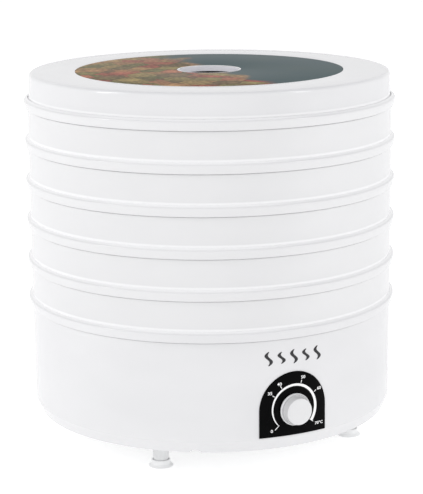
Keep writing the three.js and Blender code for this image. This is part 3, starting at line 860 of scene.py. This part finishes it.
def make_dial():
    face = -panel_low.y + 0.02
    bm = bmesh.new()
    dial_arc(bm, face)
    for text, tick_degrees, inner, outer, degrees, radius in DIAL_MARKS:
        dial_tick(bm, tick_degrees, inner, outer, 0.5, face)
        x, z = on_dial(radius, degrees)
        bm.from_mesh(numeral_mesh(text, x, z, 2.7, face))
    place("dial_print", mesh_from(bm, "dial_print", 30), white_print, "base", "black_panel")


def make_air_sign():
    """A generic sign above the dial: a row of rising, wavy strokes of warm air."""
    bm = bmesh.new()
    strokes = 5
    spacing = 11.5
    middle = (panel_high.z + base_high.z - BAND_HEIGHT) / 2 - 1.5
    for i in range(strokes):
        x0 = (i - (strokes - 1) / 2) * spacing
        tall = 12.0 if i % 2 == 0 else 10.0
        edges = []
        for step in range(25):
            part = step / 24
            x = x0 + 2.2 * math.sin(2 * math.pi * part)
            z = middle + tall * (part - 0.5)
            width = 0.8 + 2.6 * math.sin(math.pi * part) ** 0.6
            edges.append(((x - width / 2, z), (x + width / 2, z)))
        print_strip(bm, edges, WALL_RADIUS - 0.12, 0.22)
    place("air_sign", mesh_from(bm, "air_sign", 30), dark_print, "base", "white_shell")


def make_knob():
    depth = knob_high.y - knob_low.y
    bm = bmesh.new()
    lathe(bm, [
        (SPINDLE_BORE, 2.9),
        (5.6, 2.9),
        (5.6, 3.4),
        (9.3, 3.2),
        (9.7, 0),
        (13.7, 0, 0.3),
        (13.7, 1.1, 0.7),
        (13.1, 2.2, 0.4),
        (12.7, 1.3, 0.3),
        (11.8, 1.2, 0.3),
        (11.3, depth, 0.8),
        (0, depth),
        (0, KNOB_SOCKET),
        (SPINDLE_BORE, KNOB_SOCKET),
    ], 96, True, Matrix.Translation((0, knob_high.y, KNOB_Z)) @ TOWARDS_FRONT)
    place("knob_shell", mesh_from(bm, "knob_shell", 40), white_knob, "knob", "white_knob", ["knob"])


# ---------------------------------------------------------------- the lid's printed disc

def make_label():
    bm = bmesh.new()
    lathe(bm, [
        (VENT_RADIUS + 1.5, label_low.z),
        (label_high.x, label_low.z),
        (label_high.x, label_high.z, 0.1),
        (VENT_RADIUS + 1.5, label_high.z, 0.1),
    ])
    mesh = mesh_from(bm, "label_disc", 40)
    place("label_disc", mesh, label_material(), "lid", "label_print", ["lid_label"])


PRODUCE_COLORS = [
    (0.0, (0.30, 0.07, 0.05)),
    (0.25, (0.42, 0.18, 0.10)),
    (0.5, (0.34, 0.25, 0.10)),
    (0.75, (0.16, 0.15, 0.06)),
    (1.0, (0.22, 0.12, 0.07)),
]


def label_material():
    """A generic produce print made by noise: warm rounds on one side, slate green on the other."""
    material, shader = new_material("label_print", (0.1, 0.14, 0.13), 0.35)
    shader.inputs["Specular IOR Level"].default_value = 0.012
    point = object_point(material, (1 / MM, 1 / MM, 0))
    axes = node(material, "ShaderNodeSeparateXYZ")
    link(material, point, axes.inputs[0])
    rounds = node(material, "ShaderNodeTexVoronoi")
    rounds.inputs["Scale"].default_value = 0.05
    link(material, point, rounds.inputs["Vector"])
    pick = node(material, "ShaderNodeSeparateXYZ")
    link(material, rounds.outputs["Color"], pick.inputs[0])
    middle = edge(material, rounds.outputs["Distance"], 0.6, 0.1)
    fine = edge(material, noise(material, 260.0, 5.0), 0.36, 0.64)
    detail = calculate(material, "ADD", calculate(material, "MULTIPLY", middle, 0.4),
                       calculate(material, "MULTIPLY", fine, 0.5))
    flesh = node(material, "ShaderNodeHueSaturation")
    link(material, ramp(material, pick.outputs["X"], PRODUCE_COLORS), flesh.inputs["Color"])
    link(material, calculate(material, "ADD", 0.5, detail), flesh.inputs["Value"])
    clouds = noise(material, 12.0, 3.0)
    slate = ramp(material, clouds, [(0.3, (0.065, 0.10, 0.098)), (0.7, (0.045, 0.085, 0.10))])
    wobble = remap(material, noise(material, 22.0, 4.0), -40, 40)
    side = edge(material, calculate(material, "ADD", axes.outputs["X"], wobble), 14, -6)
    link(material, mix(material, side, slate, flesh.outputs["Color"]), shader.inputs["Base Color"])
    bump(material, shader, noise(material, 60.0, 2.0), 0.04, 0.0003)
    return material


# ---------------------------------------------------------------- stage, lights and camera

CAMERA_AZIMUTH = math.radians(-25.1)
CAMERA_DISTANCE = 1.560
CAMERA_HEIGHT = 0.4896 + base_low.z * MM
CAMERA_PITCH = math.radians(11.12)
CAMERA_ROLL = math.radians(-0.54)


def make_camera():
    camera = bpy.data.objects.new("camera", bpy.data.cameras.new("camera"))
    bpy.context.scene.collection.objects.link(camera)
    camera.data.sensor_width = 36
    camera.data.lens = 129.6
    camera.data.shift_x = 0.0024
    camera.data.shift_y = -0.0956
    spot = Matrix.Translation((
        CAMERA_DISTANCE * math.sin(CAMERA_AZIMUTH),
        -CAMERA_DISTANCE * math.cos(CAMERA_AZIMUTH),
        CAMERA_HEIGHT,
    ))
    turn = Matrix.Rotation(CAMERA_AZIMUTH, 4, "Z")
    tilt = Matrix.Rotation(math.pi / 2 - CAMERA_PITCH, 4, "X")
    roll = Matrix.Rotation(CAMERA_ROLL, 4, "Z")
    camera.matrix_world = spot @ turn @ tilt @ roll
    bpy.context.scene.camera = camera


def make_floor():
    bm = bmesh.new()
    half = 12000
    places = ((-half, -half), (half, -half), (half, half), (-half, half))
    corners = [bm.verts.new((x, y, -0.2)) for x, y in places]
    bm.faces.new(corners)
    mesh = mesh_from(bm, "floor", 40)
    material, shader = new_material("floor", (0.7, 0.7, 0.7), 0.6)
    grain = noise(material, 3.0, 2.0)
    pale = ramp(material, grain, [(0.3, (0.69, 0.69, 0.69)), (0.7, (0.71, 0.71, 0.71))])
    link(material, pale, shader.inputs["Base Color"])
    shader.inputs["Specular IOR Level"].default_value = 0.1
    shader.inputs["Emission Color"].default_value = (1, 1, 1, 1)
    shader.inputs["Emission Strength"].default_value = 0.5
    mesh.materials.append(material)
    obj = bpy.data.objects.new("floor", mesh)
    bpy.context.scene.collection.objects.link(obj)


def softbox(name, azimuth, elevation, distance, width, height, power):
    """A soft light at an angle from the camera's own direction, aimed at the middle of the drum."""
    light = bpy.data.lights.new(name, "AREA")
    light.shape = "RECTANGLE"
    light.size = width
    light.size_y = height
    light.energy = power
    obj = bpy.data.objects.new(name, light)
    bpy.context.scene.collection.objects.link(obj)
    a = CAMERA_AZIMUTH + math.radians(azimuth)
    e = math.radians(elevation)
    away = Vector((math.sin(a) * math.cos(e), -math.cos(a) * math.cos(e), math.sin(e)))
    obj.location = Vector((0, 0, 0.16)) + away * distance
    obj.rotation_mode = "QUATERNION"
    obj.rotation_quaternion = away.to_track_quat("Z", "Y")


def make_lights():
    softbox("left_box", -68, 32, 1.7, 0.2, 1.0, 6.0)
    softbox("right_box", 59, 32, 1.7, 0.2, 1.0, 4.0)
    world = bpy.data.worlds.new("studio")
    world.use_nodes = True
    background = world.node_tree.nodes["Background"]
    axes = node(world, "ShaderNodeSeparateXYZ")
    link(world, node(world, "ShaderNodeTexCoord").outputs["Generated"], axes.inputs[0])
    overhead = edge(world, axes.outputs["Z"], 0.35, 0.95)
    link(world, mix(world, overhead, (1, 1, 1), (0.5, 0.5, 0.53)), background.inputs["Color"])
    background.inputs["Strength"].default_value = 1.0
    bpy.context.scene.world = world
    bpy.context.scene.view_settings.view_transform = "Standard"


# ---------------------------------------------------------------- the whole

make_camera()
paint_cad_nodes()
make_base()
make_cover()
make_feet()
make_grille()
make_gland()
make_panel()
make_dial()
make_air_sign()
make_knob()
make_trays()
make_lid()
make_label()
make_floor()
make_lights()
